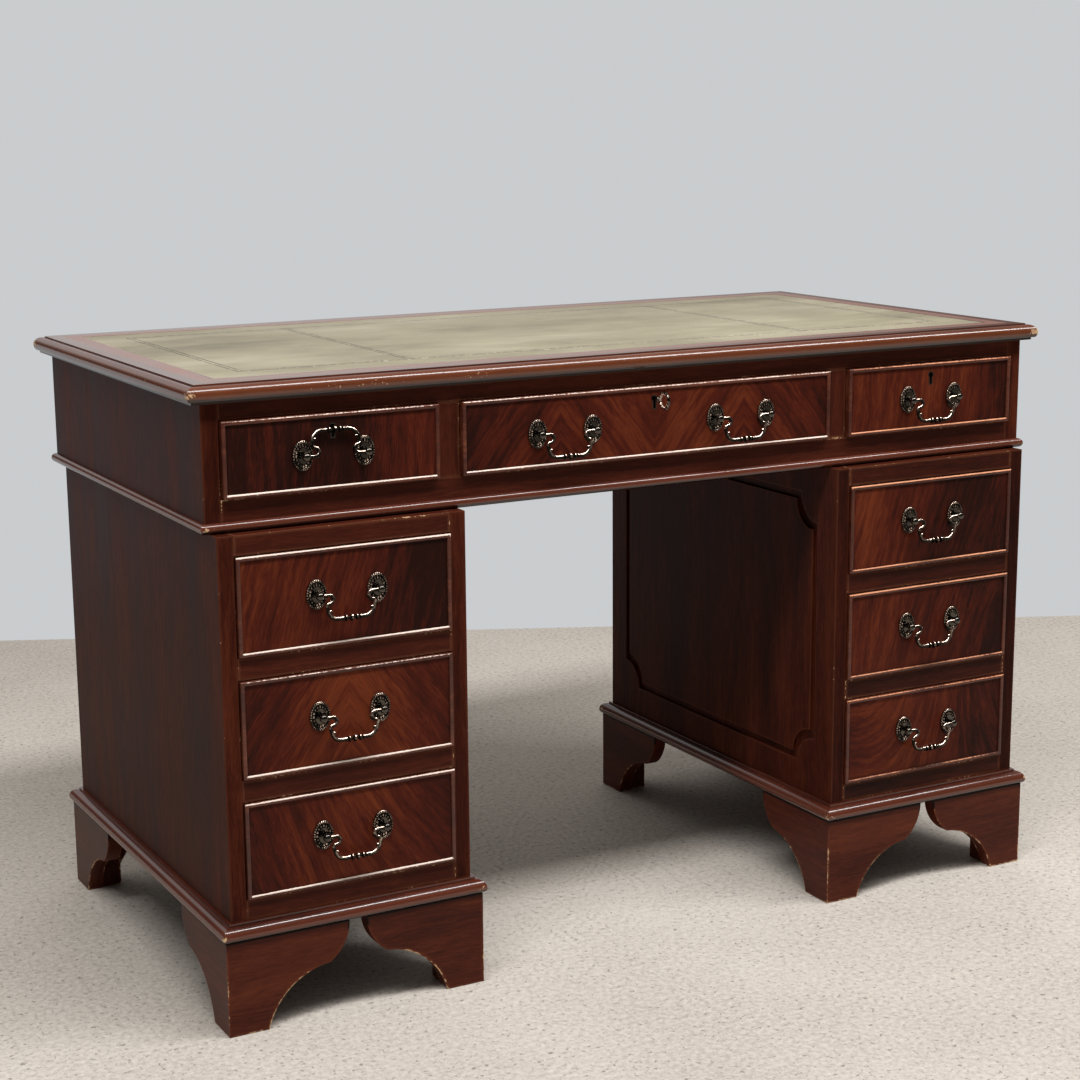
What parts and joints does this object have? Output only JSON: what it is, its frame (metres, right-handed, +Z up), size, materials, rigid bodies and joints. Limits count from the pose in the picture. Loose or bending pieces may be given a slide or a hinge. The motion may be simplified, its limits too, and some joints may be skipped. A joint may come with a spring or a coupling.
{
  "type": "pedestal desk",
  "caption": "Pedestal writing desk with a leather-inset top, cockbeaded sliding drawers, swinging swan-neck bail handles, a key that throws a lock bolt, moulded plinths and bracket feet.",
  "frame": {"origin": "on the floor under the middle of the desk", "axes": "+X to the sitter's right, -Y out of the drawer fronts, +Z up"},
  "size_m": [1.22, 0.6323, 0.765],
  "materials": {
    "mahogany": "dark red-brown mahogany, satin polish, worn pale at the edges",
    "figured_mahogany": "flame-figured mahogany veneer, satin polish",
    "drawer_wood": "plain pale drawer wood, unpolished",
    "leather": "olive hide, mottled and rubbed, with dark tooled lines",
    "brass": "aged brass, dark in the recesses",
    "steel": "plain lock steel"
  },
  "bodies": {
    "desk_frame": {"top_board": "mahogany", "top_edge_moulding": "mahogany", "leather_inset": "leather", "upper_end_panels": "mahogany", "upper_back_panel": "mahogany", "upper_rails": "mahogany", "upper_dividers": "mahogany", "upper_bottom_board": "drawer_wood", "upper_drawer_runners": "drawer_wood", "upper_base_bead": "mahogany", "left_pedestal_sides": "mahogany", "right_pedestal_sides": "mahogany", "pedestal_back_panels": "mahogany", "pedestal_rails": "mahogany", "pedestal_boards": "drawer_wood", "pedestal_drawer_runners": "drawer_wood", "plinth_mouldings": "mahogany", "left_bracket_feet": "mahogany", "right_bracket_feet": "mahogany", "locating_dowels": "drawer_wood"},
    "left_upper_drawer": {"left_upper_drawer_front": "figured_mahogany", "left_upper_drawer_box": "drawer_wood", "left_upper_drawer_fittings": "brass"},
    "left_upper_drawer_bail": {"left_upper_drawer_bail": "brass"},
    "centre_drawer": {"centre_drawer_front": "figured_mahogany", "centre_drawer_box": "drawer_wood", "centre_drawer_fittings": "brass"},
    "centre_drawer_left_bail": {"centre_drawer_left_bail": "brass"},
    "centre_drawer_right_bail": {"centre_drawer_right_bail": "brass"},
    "right_upper_drawer": {"right_upper_drawer_front": "figured_mahogany", "right_upper_drawer_box": "drawer_wood", "right_upper_drawer_fittings": "brass"},
    "right_upper_drawer_bail": {"right_upper_drawer_bail": "brass"},
    "left_pedestal_drawer_1": {"left_pedestal_drawer_1_front": "figured_mahogany", "left_pedestal_drawer_1_box": "drawer_wood", "left_pedestal_drawer_1_fittings": "brass"},
    "left_pedestal_drawer_1_bail": {"left_pedestal_drawer_1_bail": "brass"},
    "left_pedestal_drawer_2": {"left_pedestal_drawer_2_front": "figured_mahogany", "left_pedestal_drawer_2_box": "drawer_wood", "left_pedestal_drawer_2_fittings": "brass"},
    "left_pedestal_drawer_2_bail": {"left_pedestal_drawer_2_bail": "brass"},
    "left_pedestal_drawer_3": {"left_pedestal_drawer_3_front": "figured_mahogany", "left_pedestal_drawer_3_box": "drawer_wood", "left_pedestal_drawer_3_fittings": "brass"},
    "left_pedestal_drawer_3_bail": {"left_pedestal_drawer_3_bail": "brass"},
    "right_pedestal_drawer_1": {"right_pedestal_drawer_1_front": "figured_mahogany", "right_pedestal_drawer_1_box": "drawer_wood", "right_pedestal_drawer_1_fittings": "brass"},
    "right_pedestal_drawer_1_bail": {"right_pedestal_drawer_1_bail": "brass"},
    "right_pedestal_drawer_2": {"right_pedestal_drawer_2_front": "figured_mahogany", "right_pedestal_drawer_2_box": "drawer_wood", "right_pedestal_drawer_2_fittings": "brass"},
    "right_pedestal_drawer_2_bail": {"right_pedestal_drawer_2_bail": "brass"},
    "right_pedestal_drawer_3": {"right_pedestal_drawer_3_front": "figured_mahogany", "right_pedestal_drawer_3_box": "drawer_wood", "right_pedestal_drawer_3_fittings": "brass"},
    "right_pedestal_drawer_3_bail": {"right_pedestal_drawer_3_bail": "brass"},
    "centre_drawer_key": {"centre_drawer_key": "brass"},
    "centre_lock_bolt": {"centre_lock_bolt": "steel"}
  },
  "joints": [
    {"name": "left_upper_drawer_slide", "type": "slide", "parent": "desk_frame", "child": "left_upper_drawer", "axis": [0, -1, 0], "range_m": [0, 0.36]},
    {"name": "left_upper_drawer_bail_swing", "type": "hinge", "parent": "left_upper_drawer", "child": "left_upper_drawer_bail", "pos_m": [-0.4335, -0.29435, 0.6755], "axis": [-1, 0, 0], "range_deg": [-210, 0]},
    {"name": "centre_drawer_slide", "type": "slide", "parent": "desk_frame", "child": "centre_drawer", "axis": [0, -1, 0], "range_m": [0, 0.36]},
    {"name": "centre_drawer_left_bail_swing", "type": "hinge", "parent": "centre_drawer", "child": "centre_drawer_left_bail", "pos_m": [-0.128, -0.29435, 0.6755], "axis": [-1, 0, 0], "range_deg": [-15, 195]},
    {"name": "centre_drawer_right_bail_swing", "type": "hinge", "parent": "centre_drawer", "child": "centre_drawer_right_bail", "pos_m": [0.128, -0.29435, 0.6755], "axis": [-1, 0, 0], "range_deg": [-15, 195]},
    {"name": "right_upper_drawer_slide", "type": "slide", "parent": "desk_frame", "child": "right_upper_drawer", "axis": [0, -1, 0], "range_m": [0, 0.36]},
    {"name": "right_upper_drawer_bail_swing", "type": "hinge", "parent": "right_upper_drawer", "child": "right_upper_drawer_bail", "pos_m": [0.4335, -0.29435, 0.6755], "axis": [-1, 0, 0], "range_deg": [-15, 195]},
    {"name": "left_pedestal_drawer_1_slide", "type": "slide", "parent": "desk_frame", "child": "left_pedestal_drawer_1", "axis": [0, -1, 0], "range_m": [0, 0.36]},
    {"name": "left_pedestal_drawer_1_bail_swing", "type": "hinge", "parent": "left_pedestal_drawer_1", "child": "left_pedestal_drawer_1_bail", "pos_m": [-0.4285, -0.31045, 0.5155], "axis": [-1, 0, 0], "range_deg": [-15, 195]},
    {"name": "left_pedestal_drawer_2_slide", "type": "slide", "parent": "desk_frame", "child": "left_pedestal_drawer_2", "axis": [0, -1, 0], "range_m": [0, 0.36]},
    {"name": "left_pedestal_drawer_2_bail_swing", "type": "hinge", "parent": "left_pedestal_drawer_2", "child": "left_pedestal_drawer_2_bail", "pos_m": [-0.4285, -0.31045, 0.37], "axis": [-1, 0, 0], "range_deg": [-15, 195]},
    {"name": "left_pedestal_drawer_3_slide", "type": "slide", "parent": "desk_frame", "child": "left_pedestal_drawer_3", "axis": [0, -1, 0], "range_m": [0, 0.36]},
    {"name": "left_pedestal_drawer_3_bail_swing", "type": "hinge", "parent": "left_pedestal_drawer_3", "child": "left_pedestal_drawer_3_bail", "pos_m": [-0.4285, -0.31045, 0.2245], "axis": [-1, 0, 0], "range_deg": [-15, 195]},
    {"name": "right_pedestal_drawer_1_slide", "type": "slide", "parent": "desk_frame", "child": "right_pedestal_drawer_1", "axis": [0, -1, 0], "range_m": [0, 0.36]},
    {"name": "right_pedestal_drawer_1_bail_swing", "type": "hinge", "parent": "right_pedestal_drawer_1", "child": "right_pedestal_drawer_1_bail", "pos_m": [0.4285, -0.31045, 0.5155], "axis": [-1, 0, 0], "range_deg": [-15, 195]},
    {"name": "right_pedestal_drawer_2_slide", "type": "slide", "parent": "desk_frame", "child": "right_pedestal_drawer_2", "axis": [0, -1, 0], "range_m": [0, 0.36]},
    {"name": "right_pedestal_drawer_2_bail_swing", "type": "hinge", "parent": "right_pedestal_drawer_2", "child": "right_pedestal_drawer_2_bail", "pos_m": [0.4285, -0.31045, 0.37], "axis": [-1, 0, 0], "range_deg": [-15, 195]},
    {"name": "right_pedestal_drawer_3_slide", "type": "slide", "parent": "desk_frame", "child": "right_pedestal_drawer_3", "axis": [0, -1, 0], "range_m": [0, 0.36]},
    {"name": "right_pedestal_drawer_3_bail_swing", "type": "hinge", "parent": "right_pedestal_drawer_3", "child": "right_pedestal_drawer_3_bail", "pos_m": [0.4285, -0.31045, 0.2245], "axis": [-1, 0, 0], "range_deg": [-15, 195]},
    {"name": "key_turn", "type": "hinge", "parent": "centre_drawer", "child": "centre_drawer_key", "pos_m": [0, -0.27635, 0.706], "axis": [0, 1, 0], "range_deg": [0, 180]},
    {"name": "bolt_throw", "type": "slide", "parent": "centre_drawer", "child": "centre_lock_bolt", "axis": [0, 0, 1], "range_m": [0, 0.006]}
  ],
  "couplings": [
    {"joint": "bolt_throw", "follows": "key_turn", "m_per_rad": 0.0019099}
  ]
}
